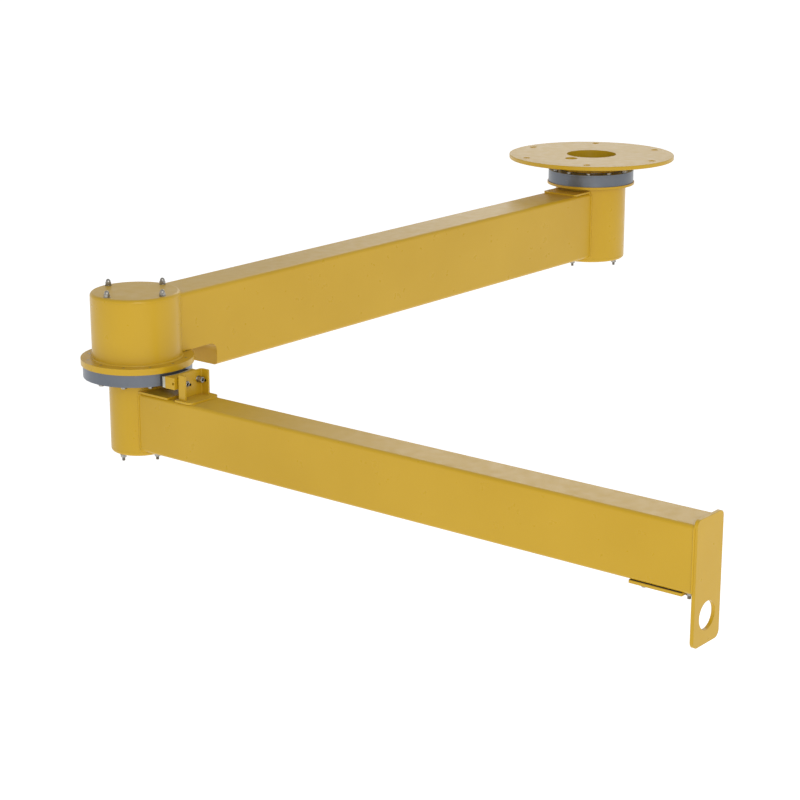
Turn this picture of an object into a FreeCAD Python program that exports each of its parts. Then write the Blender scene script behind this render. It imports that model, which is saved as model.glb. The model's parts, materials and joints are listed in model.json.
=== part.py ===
import FreeCAD, Part
import Sketcher
import os
import re

# Ceiling-hung swing arm with two box-section booms. Millimetres, +Z up. The origin is the centre of
# the top face of the mounting plate. The first boom points along +X and the second, hung below it
# from the elbow, points along +Y.

doc = FreeCAD.newDocument("CeilingSwingArm")
sheet = doc.addObject("Spreadsheet::Sheet", "sizes")

sizes = {
    # mounting plate and the spacer tube that hangs the upper bearing from it
    "plate_radius": 251,
    "plate_thickness": 12,
    "plate_rim_round": 1.5,
    "plate_bolt_circle": 217.5,
    "plate_bolt_hole": 11,
    "spacer_wall": 19,
    "cable_hole_radius": 19,
    "cable_hole_gap": 16,
    "spacer_inset": 1,
    "spacer_height": 33,
    # slewing bearings: a T-section inner ring held in a two-part outer ring by polymer liners
    "ring_bolt_offset": 12,
    "ring_edge": 11,
    "ring_bore_step": 1,
    "journal_inset": 12,
    "shoulder_width": 11,
    "lip_gap": 1,
    "running_gap": 0.3,
    "liner_thickness": 2,
    "cover_ring_thickness": 6,
    "inner_ring_proud": 1,
    "inner_ring_recess": 2,
    "upper_ring_height": 36,
    "lower_ring_height": 30,
    "screw_edge": 10,
    # fasteners, M8 throughout except the cover screws
    "thread_radius": 4,
    "bolt_clearance": 0.4,
    "hex_radius": 7.5,
    "hex_head_height": 5.3,
    "nut_height": 6.5,
    "washer_radius": 8,
    "washer_thickness": 1.6,
    "socket_head_radius": 6.5,
    "socket_head_height": 8,
    "socket_key_radius": 3.46,
    "socket_depth": 4,
    "dome_radius": 6.3,
    "dome_rise": 8.2,
    "stud_tail": 16.5,
    "stud_grip_in_dome": 9,
    "screw_engagement": 10,
    # how far a cutting tool passes each face that it opens
    "cutter_overrun": 2,
    # upper column, elbow drum and their end covers
    "column_radius": 107,
    "column_wall": 6,
    "column_flange_lip": 3,
    "column_flange_thickness": 7,
    "upper_column_tail": 5,
    "cap_thickness": 10,
    "cap_edge_round": 8,
    "upper_stud_inset": 16,
    "lug_width": 18,
    "lug_height": 20,
    "lug_depth": 18,
    "drum_rise": 5,
    "drum_flange_drop": 143,
    "drum_flange_lip": 4.5,
    "drum_flange_thickness": 15,
    "cable_port_radius": 32,
    # first boom
    "elbow_reach": 1940,
    "boom_one_drop": 14,
    "boom_one_height": 200,
    "boom_one_width": 122,
    "boom_one_wall": 5,
    "boom_one_round": 10,
    "stiffener_thickness": 5,
    "upper_stiffener_length": 63,
    "stiffener_inset": 2,
    "stiffener_round": 8,
    "recess_reach": 209,
    "recess_clearance": 1,
    "recess_round": 20,
    "recess_plate_thickness": 5,
    # lower column
    "hub_flange_edge": 8,
    "hub_flange_lip": 7,
    "hub_flange_thickness": 12,
    "lower_column_radius": 70,
    "lower_column_wall": 5,
    "lower_column_tail": 4,
    "lower_stud_inset": 13,
    "lower_lug_depth": 14,
    # second boom
    "boom_two_reach": 1565,
    "boom_two_drop": 17,
    "boom_two_height": 143,
    "boom_two_width": 98,
    "boom_two_wall": 4,
    "boom_two_round": 8,
    "lower_stiffener_length": 76,
    "end_plate_thickness": 8,
    "end_plate_rise": 11,
    "end_plate_drop": 112,
    "end_plate_top_round": 13,
    "end_plate_lug_round": 15,
    "lug_hole_radius": 30,
    "lug_hole_rise": 59,
    # cable cover under the second boom's tip
    "cover_length": 123,
    "cover_end_gap": 22,
    "cover_thickness": 6,
    "gasket_thickness": 1,
    "cover_corner_round": 3,
    "gasket_inset": 3,
    "cover_end_land": 22,
    "cover_side_land": 8,
    "cover_screw_inset": 13,
    "cover_screw_end": 29,
    "cover_screw_radius": 3,
    "cover_screw_head": 5,
    "cover_screw_head_height": 6,
    "cover_screw_length": 16,
    "cover_screw_clearance": 0.3,
    "tip_bolt_end": 14,
    "tip_bolt_length": 18,
    # friction brake on the second boom, pressing on the lower bearing's outer ring
    "brake_half_width": 46,
    "brake_centre_drop": 18.5,
    "pad_thickness": 7,
    "pad_height": 22,
    "backing_thickness": 8,
    "backing_height": 26,
    "carrier_thickness": 22.7,
    "carrier_height": 28,
    "brake_travel_gap": 3,
    "bracket_half_width": 41,
    "bracket_wall": 5,
    "bracket_depth": 26,
    "bracket_height": 59,
    "bracket_bend": 8,
    "bracket_inner_bend": 3,
    "bracket_base_length": 52,
    "bracket_base_round": 16,
    "brake_stud_side": 25,
    "brake_stud_length": 50,
    "brake_stud_grip": 19,
    "spring_radius": 8,
    "spring_bore": 4.3,
    "spring_dish": 0.4,
    "spring_pocket_radius": 9,
    "spring_pocket_depth": 10,
    "carrier_pin_hole": 3,
    "carrier_pin_depth": 9,
}

for row, (alias, value) in enumerate(sizes.items(), start=1):
    sheet.set("A%d" % row, alias.replace("_", " "))
    sheet.set("B%d" % row, str(value))
    sheet.setAlias("B%d" % row, alias)

RING_BOLTS = 12
RING_SCREWS = 6
PLATE_BOLTS = 6
CAP_STUDS = 4
DISC_SPRINGS = 8

# Two levels nearer together than this, in millimetres, count as the same level.
SAME_LEVEL = 0.01

# Levels and radii that follow from the sizes. Each is written once and opened up where it is used.
derived = {
    "ring_bolt_circle": "column_radius + ring_bolt_offset",
    "ring_radius": "ring_bolt_circle + ring_edge",
    "journal_radius": "column_radius - journal_inset",
    "shoulder_radius": "journal_radius + shoulder_width",
    "spacer_radius": "journal_radius - spacer_inset",
    "hub_bore": "spacer_radius - spacer_wall",
    "upper_screw_circle": "(hub_bore + spacer_radius) / 2",
    "cable_hole_offset": "spacer_radius + cable_hole_gap",
    "column_flange_radius": "ring_radius + column_flange_lip",
    "drum_flange_radius": "ring_radius + drum_flange_lip",
    "column_bore": "column_radius - column_wall",
    "upper_stud_circle": "column_radius - upper_stud_inset",
    "lower_column_bore": "lower_column_radius - lower_column_wall",
    "lower_stud_circle": "lower_column_radius - lower_stud_inset",
    "ring_bore": "lower_column_bore - ring_bore_step",
    "lower_screw_circle": "ring_bore + screw_edge",
    "hub_flange_radius": "lower_screw_circle + hub_flange_edge",
    "hub_flange_bore": "lower_column_bore - hub_flange_lip",
    "upper_stiffener_reach": "column_radius + upper_stiffener_length",
    "upper_stiffener_width": "boom_one_width - 2 * stiffener_inset",
    "lower_stiffener_reach": "lower_column_radius + lower_stiffener_length",
    "plate_bottom": "-plate_thickness",
    "spacer_bottom": "plate_bottom - spacer_height",
    "upper_ring_top": "spacer_bottom - inner_ring_proud",
    "upper_flange_top": "upper_ring_top - upper_ring_height",
    "upper_flange_bottom": "upper_flange_top - column_flange_thickness",
    "boom_one_top": "upper_flange_bottom - boom_one_drop",
    "boom_one_bottom": "boom_one_top - boom_one_height",
    "boom_one_middle": "boom_one_top - boom_one_height / 2",
    "upper_cap_top": "boom_one_bottom - upper_column_tail",
    "upper_cap_bottom": "upper_cap_top - cap_thickness",
    "drum_top": "boom_one_top + drum_rise",
    "lid_top": "drum_top + cap_thickness",
    "drum_flange_top": "boom_one_top - drum_flange_drop",
    "drum_flange_bottom": "drum_flange_top - drum_flange_thickness",
    "recess_height": "drum_flange_top + recess_clearance - boom_one_bottom",
    "lower_ring_bottom": "drum_flange_bottom - lower_ring_height",
    "hub_flange_top": "lower_ring_bottom - inner_ring_proud",
    "hub_flange_bottom": "hub_flange_top - hub_flange_thickness",
    "boom_two_top": "hub_flange_bottom - boom_two_drop",
    "boom_two_bottom": "boom_two_top - boom_two_height",
    "boom_two_middle": "boom_two_top - boom_two_height / 2",
    "lower_cap_top": "boom_two_bottom - lower_column_tail",
    "lower_cap_bottom": "lower_cap_top - cap_thickness",
    "lip_radius": "journal_radius + lip_gap",
    "groove_radius": "shoulder_radius + running_gap + liner_thickness",
    "bolt_hole": "thread_radius + bolt_clearance",
    "cover_start": "boom_two_reach - cover_end_gap - cover_length",
    "cover_screw_side": "boom_two_width / 2 - cover_screw_inset",
    "tip_bolt_side": "boom_two_width / 2 - boom_two_round - hex_radius",
    "cover_window_length": "cover_length - 2 * cover_end_land",
    "cover_window_width": "2 * (cover_screw_side - cover_side_land)",
    "gasket_bottom": "boom_two_bottom - gasket_thickness",
    "cover_bottom": "gasket_bottom - cover_thickness",
    "pad_face": "ring_radius + running_gap",
    "pad_back": "pad_face + pad_thickness",
    "backing_back": "pad_back + backing_thickness",
    "carrier_back": "backing_back + carrier_thickness",
    "brake_level": "drum_flange_bottom - brake_centre_drop",
    "bracket_face": "carrier_back + brake_travel_gap",
    "bracket_foot": "boom_two_top + stiffener_thickness",
    "nut_seat": "bracket_face + bracket_wall + running_gap",
    "spring_start": "carrier_back - spring_pocket_depth + running_gap",
    "spring_height": "(spring_pocket_depth + brake_travel_gap - 2 * running_gap) / %d" % DISC_SPRINGS,
}

nodes = []


def formula(text):
    """A formula in the names above, written as FreeCAD reads it."""
    def swap(match):
        word = match.group(0)
        if word in derived:
            return "(" + formula(derived[word]) + ")"
        if word in sizes:
            return "sizes." + word
        return word
    return re.sub(r"[a-z][a-z_0-9]*", swap, str(text))


def bind(thing, name, text):
    thing.setExpression(name, formula(text))


def place(thing, x="0", y="0", z="0"):
    bind(thing, ".Placement.Base.x", x)
    bind(thing, ".Placement.Base.y", y)
    bind(thing, ".Placement.Base.z", z)
    return thing


def keep(thing, node):
    """Marks an object as a finished sub-part, named for its node."""
    thing.Label = node
    nodes.append(thing)
    return thing


# ---- primitives and booleans

def turned(axis):
    """The rotation that lays a +Z primitive along an axis."""
    directions = {
        "x": FreeCAD.Vector(1, 0, 0),
        "y": FreeCAD.Vector(0, 1, 0),
        "z": FreeCAD.Vector(0, 0, 1),
        "down": FreeCAD.Vector(0, 0, -1),
    }
    return FreeCAD.Rotation(FreeCAD.Vector(0, 0, 1), directions[axis])


def cylinder(name, radius, height, x="0", y="0", z="0", axis="z"):
    solid = doc.addObject("Part::Cylinder", name)
    bind(solid, "Radius", radius)
    bind(solid, "Height", height)
    solid.Placement = FreeCAD.Placement(FreeCAD.Vector(), turned(axis))
    return place(solid, x, y, z)


def hexagon(name, radius, height, x="0", y="0", z="0", axis="z"):
    solid = doc.addObject("Part::Prism", name)
    solid.Polygon = 6
    bind(solid, "Circumradius", radius)
    bind(solid, "Height", height)
    solid.Placement = FreeCAD.Placement(FreeCAD.Vector(), turned(axis))
    return place(solid, x, y, z)


def block(name, length, width, height, x, y, z):
    solid = doc.addObject("Part::Box", name)
    bind(solid, "Length", length)
    bind(solid, "Width", width)
    bind(solid, "Height", height)
    return place(solid, x, y, z)


def cut(name, base, *tools):
    result = doc.addObject("Part::Cut", name)
    result.Base = base
    result.Tool = tools[0] if len(tools) == 1 else gather(name + "_tools", tools)
    return result


def fuse(name, *parts):
    result = doc.addObject("Part::MultiFuse", name)
    result.Shapes = list(parts)
    return result


def common(name, one, other):
    result = doc.addObject("Part::Common", name)
    result.Base = one
    result.Tool = other
    return result


def gather(name, parts):
    result = doc.addObject("Part::Compound", name)
    result.Links = list(parts)
    return result


def cut_in_turn(name, base, *tools):
    """Cuts tools that cross each other, one after another."""
    for number, tool in enumerate(tools, start=1):
        base = cut("%s_%d" % (name, number), base, tool)
    return base


# ---- bodies made from sketches

def new_body(name, x="0", y="0", z="0"):
    return place(doc.addObject("PartDesign::Body", name), x, y, z)


def origin_part(body, role):
    return [feature for feature in body.Origin.OriginFeatures if feature.Role == role][0]


def new_sketch(body, name, plane):
    sketch = body.newObject("Sketcher::SketchObject", name)
    sketch.AttachmentSupport = [(origin_part(body, plane), "")]
    sketch.MapMode = "FlatFace"
    return sketch


def fix_point(sketch, geometry, point, x, y):
    for kind, value in (("DistanceX", x), ("DistanceY", y)):
        index = sketch.addConstraint(Sketcher.Constraint(kind, -1, 1, geometry, point, 1.0))
        bind(sketch, "Constraints[%d]" % index, value)


def polygon(body, name, plane, points):
    """A closed outline of straight lines, each corner held by its own two formulas."""
    sketch = new_sketch(body, name, plane)
    count = len(points)
    seeds = [FreeCAD.Vector(10 * i, 3 * i * i, 0) for i in range(count)]
    for i in range(count):
        sketch.addGeometry(Part.LineSegment(seeds[i], seeds[(i + 1) % count]), False)
    for i in range(count):
        sketch.addConstraint(Sketcher.Constraint("Coincident", i, 2, (i + 1) % count, 1))
    for i, (x, y) in enumerate(points):
        fix_point(sketch, i, 1, x, y)
    return sketch


def rectangle(body, name, plane, low, high):
    corners = [(low[0], low[1]), (high[0], low[1]), (high[0], high[1]), (low[0], high[1])]
    return polygon(body, name, plane, corners)


def circles(body, name, plane, rounds):
    """Circles given as (radius, x, y)."""
    sketch = new_sketch(body, name, plane)
    for number, (radius, x, y) in enumerate(rounds):
        seed = Part.Circle(FreeCAD.Vector(number, 0, 0), FreeCAD.Vector(0, 0, 1), 5 + number)
        geometry = sketch.addGeometry(seed, False)
        index = sketch.addConstraint(Sketcher.Constraint("Radius", geometry, 5.0 + number))
        bind(sketch, "Constraints[%d]" % index, radius)
        fix_point(sketch, geometry, 3, x, y)
    return sketch


def pad(body, sketch, length, both_ways=False, backwards=False):
    feature = body.newObject("PartDesign::Pad", sketch.Name + "_pad")
    feature.Profile = sketch
    feature.Midplane = both_ways
    feature.Reversed = backwards
    bind(feature, "Length", length)
    doc.recompute()
    return feature


def pocket(body, sketch, length, backwards=False):
    before = body.Shape.Volume
    feature = body.newObject("PartDesign::Pocket", sketch.Name + "_pocket")
    feature.Profile = sketch
    feature.Reversed = backwards
    bind(feature, "Length", length)
    doc.recompute()
    if not body.Shape.Volume < before:
        raise RuntimeError(feature.Name + " cuts nothing")
    return feature


def revolve(body, sketch):
    feature = body.newObject("PartDesign::Revolution", sketch.Name + "_turn")
    feature.Profile = sketch
    feature.ReferenceAxis = (sketch, ["V_Axis"])
    feature.Angle = 360
    doc.recompute()
    return feature


def repeat_round(body, feature, count):
    """Repeats a cut evenly round the body's own Z axis."""
    before = body.Shape.Volume
    pattern = body.newObject("PartDesign::PolarPattern", feature.Name + "_round")
    pattern.Originals = [feature]
    pattern.Axis = (origin_part(body, "Z_Axis"), [""])
    pattern.Angle = 360
    pattern.Occurrences = count
    body.Tip = pattern
    doc.recompute()
    if not body.Shape.Volume < before:
        raise RuntimeError(pattern.Name + " cuts nothing")
    return pattern


def round_edges(body, radius, chosen):
    """Rounds the edges that the test picks."""
    names = []
    base = body.Tip
    shape = base.Shape
    for number, edge in enumerate(shape.Edges, start=1):
        if chosen(edge, shape):
            names.append("Edge%d" % number)
    feature = body.newObject("PartDesign::Fillet", body.Name + "_round%d" % len(body.Group))
    feature.Base = (base, names)
    bind(feature, "Radius", radius)
    doc.recompute()
    return feature


def runs_along(axis):
    """Picks the straight edges that run along an axis."""
    def test(edge, shape):
        if not isinstance(edge.Curve, (Part.Line, Part.LineSegment)):
            return False
        step = edge.Vertexes[-1].Point - edge.Vertexes[0].Point
        return abs(step.normalize().dot(FreeCAD.Vector(*axis))) > 0.999
    return test


def beside(middle, offset, sign):
    """A coordinate one offset to either side of a middle."""
    return "%s %s (%s)" % (middle, sign, offset)


# ---- repeated shapes

def first_hole(name, body, holes, start):
    """The first of a ring of holes given as (circle, radius)."""
    circle, radius = holes
    x = "(%s) * cos(%s deg)" % (circle, start)
    y = "(%s) * sin(%s deg)" % (circle, start)
    return circles(body, name, "XY_Plane", [(radius, x, y)])


def flange(node, outer, bore, thickness, level, x="0", holes=None, count=0, start="0"):
    """A flat ring at a level, with evenly spaced holes given as (circle, radius)."""
    body = new_body(node + "_body", x, "0", level)
    outline = circles(body, node + "_outline", "XY_Plane", [(outer, "0", "0"), (bore, "0", "0")])
    pad(body, outline, thickness)
    if holes:
        drill = pocket(body, first_hole(node + "_hole", body, holes, start), thickness, True)
        repeat_round(body, drill, count)
    return keep(body, node)


def turned_ring(node, points, x="0", holes=None, count=0, start="0", hole_from="0", hole_depth="1"):
    """A ring of revolution from its (radius, level) section, with holes along its axis."""
    body = new_body(node + "_body", x)
    revolve(body, polygon(body, node + "_section", "XZ_Plane", points))
    if holes:
        sketch = first_hole(node + "_hole", body, holes, start)
        bind(sketch, ".AttachmentOffset.Base.z", hole_from)
        drill = pocket(body, sketch, hole_depth)
        repeat_round(body, drill, count)
    return keep(body, node)


def around(circle, number, count, x="0", start=0):
    """The place of one of several fasteners on a circle."""
    angle = start + 360.0 * number / count
    px = "%s + (%s) * cos(%g deg)" % (x, circle, angle)
    py = "(%s) * sin(%g deg)" % (circle, angle)
    return px, py


def hex_bolts(node, circle, count, x, seat, up, grip, start=0):
    """Hexagon bolts whose heads sit on a level and whose shanks run into the joint."""
    bolts = []
    head_axis, shank_axis = ("z", "down") if up else ("down", "z")
    for number in range(count):
        name = "%s_%d" % (node, number + 1)
        px, py = around(circle, number, count, x, start)
        head = hexagon(name + "_head", "hex_radius", "hex_head_height", px, py, seat, head_axis)
        shank = cylinder(name + "_shank", "thread_radius", grip, px, py, seat, shank_axis)
        bolts.append(fuse(name, head, shank))
    return keep(gather(node + "_set", bolts), node)


def socket_screws(node, circle, count, x, seat, up, grip):
    """Socket-head screws with a hexagon key recess."""
    screws = []
    head_axis, shank_axis = ("z", "down") if up else ("down", "z")
    side = "+" if up else "-"
    for number in range(count):
        name = "%s_%d" % (node, number + 1)
        px, py = around(circle, number, count, x)
        head = cylinder(name + "_head", "socket_head_radius", "socket_head_height", px, py, seat,
                        head_axis)
        shank = cylinder(name + "_shank", "thread_radius", grip, px, py, seat, shank_axis)
        key_level = "%s %s (socket_head_height - socket_depth)" % (seat, side)
        key = hexagon(name + "_key", "socket_key_radius", "socket_depth", px, py, key_level, head_axis)
        screws.append(cut(name, fuse(name + "_blank", head, shank), key))
    return keep(gather(node + "_set", screws), node)


def studs(node, circle, x, low, length):
    made = []
    for number in range(CAP_STUDS):
        px, py = around(circle, number, CAP_STUDS, x)
        made.append(cylinder("%s_%d" % (node, number + 1), "thread_radius", length, px, py, low))
    return keep(gather(node + "_set", made), node)


def washers(node, circle, x, low):
    made = []
    for number in range(CAP_STUDS):
        name = "%s_%d" % (node, number + 1)
        px, py = around(circle, number, CAP_STUDS, x)
        disc = cylinder(name + "_disc", "washer_radius", "washer_thickness", px, py, low)
        hole = cylinder(name + "_hole", "bolt_hole", "washer_thickness", px, py, low)
        made.append(cut(name, disc, hole))
    return keep(gather(node + "_set", made), node)


def nuts(node, circle, x, low):
    made = []
    for number in range(CAP_STUDS):
        name = "%s_%d" % (node, number + 1)
        px, py = around(circle, number, CAP_STUDS, x)
        blank = hexagon(name + "_blank", "hex_radius", "nut_height", px, py, low)
        hole = cylinder(name + "_hole", "thread_radius", "nut_height", px, py, low)
        made.append(cut(name, blank, hole))
    return keep(gather(node + "_set", made), node)


def lugs(node, circle, x, low, bore, depth):
    """Threaded blocks welded inside a tube's bore, one for each stud."""
    made = []
    for number in range(CAP_STUDS):
        name = "%s_%d" % (node, number + 1)
        blank = block(name + "_blank", depth, "lug_width", "lug_height", "0", "0", "0")
        angle = 360.0 * number / CAP_STUDS
        blank.Placement = FreeCAD.Placement(FreeCAD.Vector(), FreeCAD.Rotation(angle, 0, 0))
        place(
            blank,
            "%s + (%s - %s) * cos(%g deg) + lug_width / 2 * sin(%g deg)" % (x, bore, depth, angle, angle),
            "(%s - %s) * sin(%g deg) - lug_width / 2 * cos(%g deg)" % (bore, depth, angle, angle),
            low,
        )
        px, py = around(circle, number, CAP_STUDS, x)
        thread = cylinder(name + "_thread", "thread_radius", "lug_height", px, py, low)
        made.append(cut(name + "_drilled", blank, thread))
    inside = cylinder(node + "_bore", bore, "lug_height", x, "0", low)
    trimmed = [common("%s_%d" % (node, i + 1), lug, inside) for i, lug in enumerate(made)]
    return keep(gather(node + "_set", trimmed), node)


def box_prism(name, plane, low, high, start, length, radius, run, x="0", y="0"):
    """A straight bar of rectangular section with rounded long edges."""
    if plane == "YZ_Plane":
        body = new_body(name, start, y, "0")
        backwards = False
    else:
        body = new_body(name, x, start, "0")
        backwards = True
    pad(body, rectangle(body, name + "_section", plane, low, high), length, False, backwards)
    round_edges(body, radius, runs_along(run))
    return body


# ---- ceiling mount

def ceiling_mount():
    plate = new_body("mounting_plate_body", "0", "0", "plate_bottom")
    rounds = [("plate_radius", "0", "0"), ("hub_bore", "0", "0")]
    pad(plate, circles(plate, "plate_outline", "XY_Plane", rounds), "plate_thickness")
    rim = plate.Shape.BoundBox.XMax
    round_edges(plate, "plate_rim_round", lambda edge, shape: edge.Length > 6 * rim)
    spot = ("cable_hole_radius", "cable_hole_offset", "0")
    cable = circles(plate, "plate_cable_hole", "XY_Plane", [spot])
    pocket(plate, cable, "plate_thickness", True)
    spot = ("plate_bolt_hole", "plate_bolt_circle * cos(30 deg)", "plate_bolt_circle * sin(30 deg)")
    drill = pocket(plate, circles(plate, "plate_bolt_spot", "XY_Plane", [spot]), "plate_thickness", True)
    repeat_round(plate, drill, PLATE_BOLTS)
    keep(plate, "mounting_plate")
    flange("hub_spacer", "spacer_radius", "hub_bore", "spacer_height", "spacer_bottom", "0",
           ("upper_screw_circle", "thread_radius"), RING_SCREWS)


# ---- slewing bearings

def bearing(side, x, mount, sign, height, screw_circle, screw_up):
    """Heights run from the face bolted to the flange towards the cover ring."""
    def level(text):
        return "%s %s (%s)" % (mount, sign, text)
    top = "%s - cover_ring_thickness" % height
    floor = "cover_ring_thickness"
    middle = "(%s) / 2" % height
    through = "%s + 2 * cutter_overrun" % height
    drill_start = level("%s + cutter_overrun" % height) if sign == "+" else level("0 - cutter_overrun")
    bolt_holes = ("ring_bolt_circle", "bolt_hole")
    housing = [("lip_radius", level("0")), ("ring_radius", level("0")), ("ring_radius", level(top)),
               ("groove_radius", level(top)), ("groove_radius", level(floor)), ("lip_radius", level(floor))]
    turned_ring(side + "_bearing_housing", housing, x, bolt_holes, RING_BOLTS, "0", drill_start, through)
    cover = [("lip_radius", level(top)), ("ring_radius", level(top)),
             ("ring_radius", level(height)), ("lip_radius", level(height))]
    turned_ring(side + "_bearing_cover_ring", cover, x, bolt_holes, RING_BOLTS, "0", drill_start, through)

    inner = "groove_radius - liner_thickness"
    liners = []
    for name, wall, step in (("floor", floor, "+"), ("cover", top, "-")):
        back = "-" if step == "+" else "+"
        shelf = "%s %s liner_thickness" % (wall, step)
        stop = "%s %s running_gap" % (middle, back)
        section = [("lip_radius", level(wall)), ("groove_radius", level(wall)),
                   ("groove_radius", level(stop)), (inner, level(stop)),
                   (inner, level(shelf)), ("lip_radius", level(shelf))]
        body = new_body("%s_liner_%s" % (side, name), x)
        revolve(body, polygon(body, "%s_liner_%s_section" % (side, name), "XZ_Plane", section))
        liners.append(body)
    keep(gather(side + "_liner_pair", liners), side + "_bearing_liners")

    rest = "liner_thickness + running_gap"
    low = "inner_ring_recess"
    high = "%s + inner_ring_proud" % height
    race = [("ring_bore", level(high)), ("journal_radius", level(high)),
            ("journal_radius", level("%s - (%s)" % (top, rest))),
            ("shoulder_radius", level("%s - (%s)" % (top, rest))),
            ("shoulder_radius", level("%s + %s" % (floor, rest))),
            ("journal_radius", level("%s + %s" % (floor, rest))),
            ("journal_radius", level(low)), ("ring_bore", level(low))]
    turned_ring(side + "_inner_ring", race, x, (screw_circle, "bolt_hole"), RING_SCREWS, "0",
                drill_start, through)
    seat = level("inner_ring_recess")
    grip = "%s + inner_ring_proud - inner_ring_recess + screw_engagement" % height
    socket_screws(side + "_inner_ring_screws", screw_circle, RING_SCREWS, x, seat, screw_up, grip)


# ---- columns

def column_tube(node, x, radius, wall, low, high, ports):
    """A round tube between two levels, with cable ports through its wall."""
    name = node + "_stock"
    height = "(%s) - (%s)" % (high, low)
    outer = cylinder(name + "_outer", radius, height, x, "0", low)
    inner = cylinder(name + "_inner", "%s - %s" % (radius, wall), height, x, "0", low)
    tube = cut(name, outer, inner)
    for number, (axis, start, level) in enumerate(ports, start=1):
        sx, sy = (start, "0") if axis == "x" else (x, start)
        port = cylinder("%s_port_%d" % (node, number), "cable_port_radius", radius, sx, sy, level, axis)
        tube = cut("%s_ported_%d" % (node, number), tube, port)
    return keep(tube, node)


def end_cap(node, x, radius, low, circle, rounded_top):
    """A disc whose outer rim is rounded, with one clearance hole for each stud."""
    body = new_body(node + "_body", x, "0", low)
    pad(body, circles(body, node + "_outline", "XY_Plane", [(radius, "0", "0")]), "cap_thickness")

    def rim(edge, shape):
        above = edge.BoundBox.Center.z > shape.BoundBox.Center.z
        return isinstance(edge.Curve, Part.Circle) and above == rounded_top
    round_edges(body, "cap_edge_round", rim)
    hole = circles(body, node + "_hole", "XY_Plane", [("bolt_hole", circle, "0")])
    repeat_round(body, pocket(body, hole, "cap_thickness", True), CAP_STUDS)
    return keep(body, node)


def bottom_fittings(side, x, circle, radius, bore, depth, cap_bottom):
    """Lugs, cap, studs, washers and nuts that close the foot of a column."""
    lugs(side + "_column_lugs", circle, x, cap_bottom + " + cap_thickness", bore, depth)
    end_cap(side + "_column_cap", x, radius, cap_bottom, circle, False)
    studs(side + "_cap_studs", circle, x, cap_bottom + " - stud_tail",
          "stud_tail + cap_thickness + lug_height")
    washers(side + "_cap_washers", circle, x, cap_bottom + " - washer_thickness")
    nuts(side + "_cap_nuts", circle, x, cap_bottom + " - washer_thickness - nut_height")


def upper_column():
    flange("upper_column_flange", "column_flange_radius", "column_bore", "column_flange_thickness",
           "upper_flange_bottom", "0", ("ring_bolt_circle", "thread_radius"), RING_BOLTS)
    hex_bolts("upper_ring_bolts", "ring_bolt_circle", RING_BOLTS, "0", "upper_ring_top", True,
              "upper_ring_height + column_flange_thickness")
    column_tube("upper_column_tube", "0", "column_radius", "column_wall", "upper_cap_top",
                "upper_flange_bottom", [("x", "0", "boom_one_middle")])
    bottom_fittings("upper", "0", "upper_stud_circle", "column_radius", "column_bore", "lug_depth",
                    "upper_cap_bottom")


def elbow_drum():
    x = "elbow_reach"
    column_tube("elbow_drum_tube", x, "column_radius", "column_wall", "drum_flange_top", "drum_top",
                [("x", "elbow_reach - column_radius", "(drum_flange_top + drum_top) / 2")])
    flange("drum_flange", "drum_flange_radius", "column_bore", "drum_flange_thickness",
           "drum_flange_bottom", x, ("ring_bolt_circle", "thread_radius"), RING_BOLTS)
    hex_bolts("lower_ring_bolts", "ring_bolt_circle", RING_BOLTS, x, "lower_ring_bottom", False,
              "lower_ring_height + drum_flange_thickness")
    lugs("drum_lid_lugs", "upper_stud_circle", x, "drum_top - lug_height", "column_bore", "lug_depth")
    end_cap("drum_lid", x, "column_radius", "drum_top", "upper_stud_circle", True)
    studs("drum_lid_studs", "upper_stud_circle", x, "drum_top - lug_height",
          "lug_height + cap_thickness + washer_thickness + stud_grip_in_dome")
    washers("drum_lid_washers", "upper_stud_circle", x, "lid_top")
    made = []
    for number in range(CAP_STUDS):
        name = "drum_lid_cap_nut_%d" % (number + 1)
        px, py = around("upper_stud_circle", number, CAP_STUDS, x)
        seat = "lid_top + washer_thickness"
        foot = hexagon(name + "_foot", "hex_radius", "nut_height", px, py, seat)
        dome = doc.addObject("Part::Sphere", name + "_dome")
        bind(dome, "Radius", "dome_radius")
        place(dome, px, py, seat + " + dome_rise")
        bore = cylinder(name + "_bore", "thread_radius", "stud_grip_in_dome", px, py, seat)
        made.append(cut(name, fuse(name + "_blank", foot, dome), bore))
    keep(gather("drum_lid_cap_nut_set", made), "drum_lid_cap_nuts")


def lower_column():
    x = "elbow_reach"
    flange("lower_hub_flange", "hub_flange_radius", "hub_flange_bore", "hub_flange_thickness",
           "hub_flange_bottom", x, ("lower_screw_circle", "thread_radius"), RING_SCREWS)
    column_tube("lower_column_tube", x, "lower_column_radius", "lower_column_wall", "lower_cap_top",
                "hub_flange_bottom", [("y", "0", "boom_two_middle")])
    bottom_fittings("lower", x, "lower_stud_circle", "lower_column_radius", "lower_column_bore",
                    "lower_lug_depth", "lower_cap_bottom")


# ---- booms

def stiffener(node, body, column_radius, x, level):
    """A plate welded on a boom and coped round its column."""
    cope = cylinder(node + "_cope", column_radius, "stiffener_thickness", x, "0", level)
    return keep(cut(node + "_coped", body, cope), node)


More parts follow.
